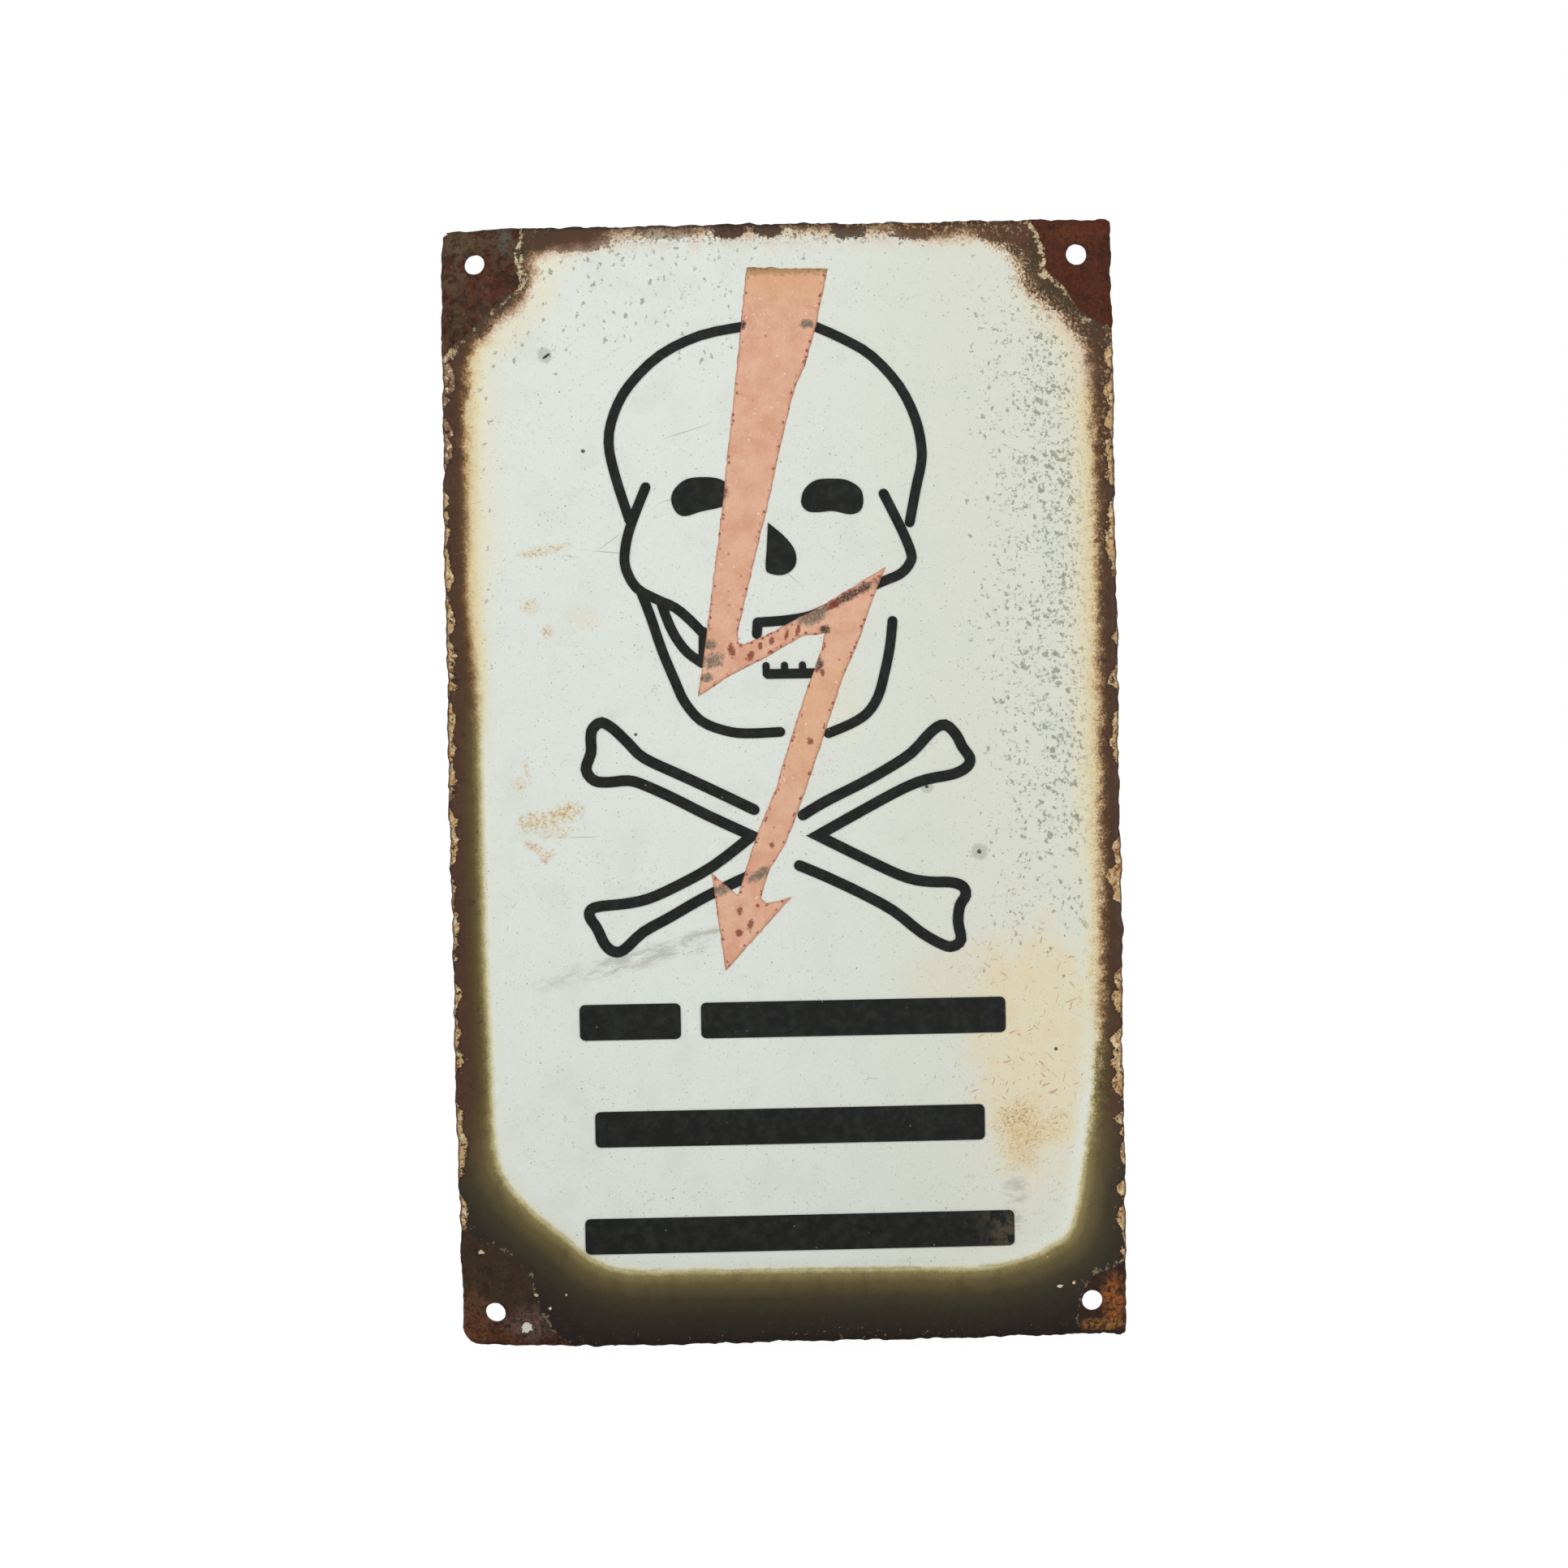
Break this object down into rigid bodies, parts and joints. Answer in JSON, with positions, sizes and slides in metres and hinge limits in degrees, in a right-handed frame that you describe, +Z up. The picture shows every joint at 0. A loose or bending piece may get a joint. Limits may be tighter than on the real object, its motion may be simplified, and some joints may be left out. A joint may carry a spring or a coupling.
{
  "type": "high voltage warning sign",
  "caption": "Old upright enamelled steel warning sign with a skull, crossed bones and a red lightning arrow, rusted at its edges and screw holes.",
  "frame": {"origin": "middle of the four screw holes, on the plane of their rear mouths", "axes": "+Z up the sign, -Y out of its front towards the reader, +X to the reader's right"},
  "size_m": [0.15, 0.0073, 0.2499],
  "materials": {
    "rusted_steel": "dark ground coat, rusted and granular",
    "white_enamel": "aged semi-gloss vitreous enamel",
    "black_enamel": "aged semi-gloss vitreous enamel",
    "red_enamel": "red vitreous enamel faded to salmon"
  },
  "bodies": {
    "root": {"steel_sheet": "rusted_steel", "white_enamel": "white_enamel", "black_figure": "black_enamel", "red_arrow": "red_enamel", "black_bars": "black_enamel"}
  },
  "joints": []
}
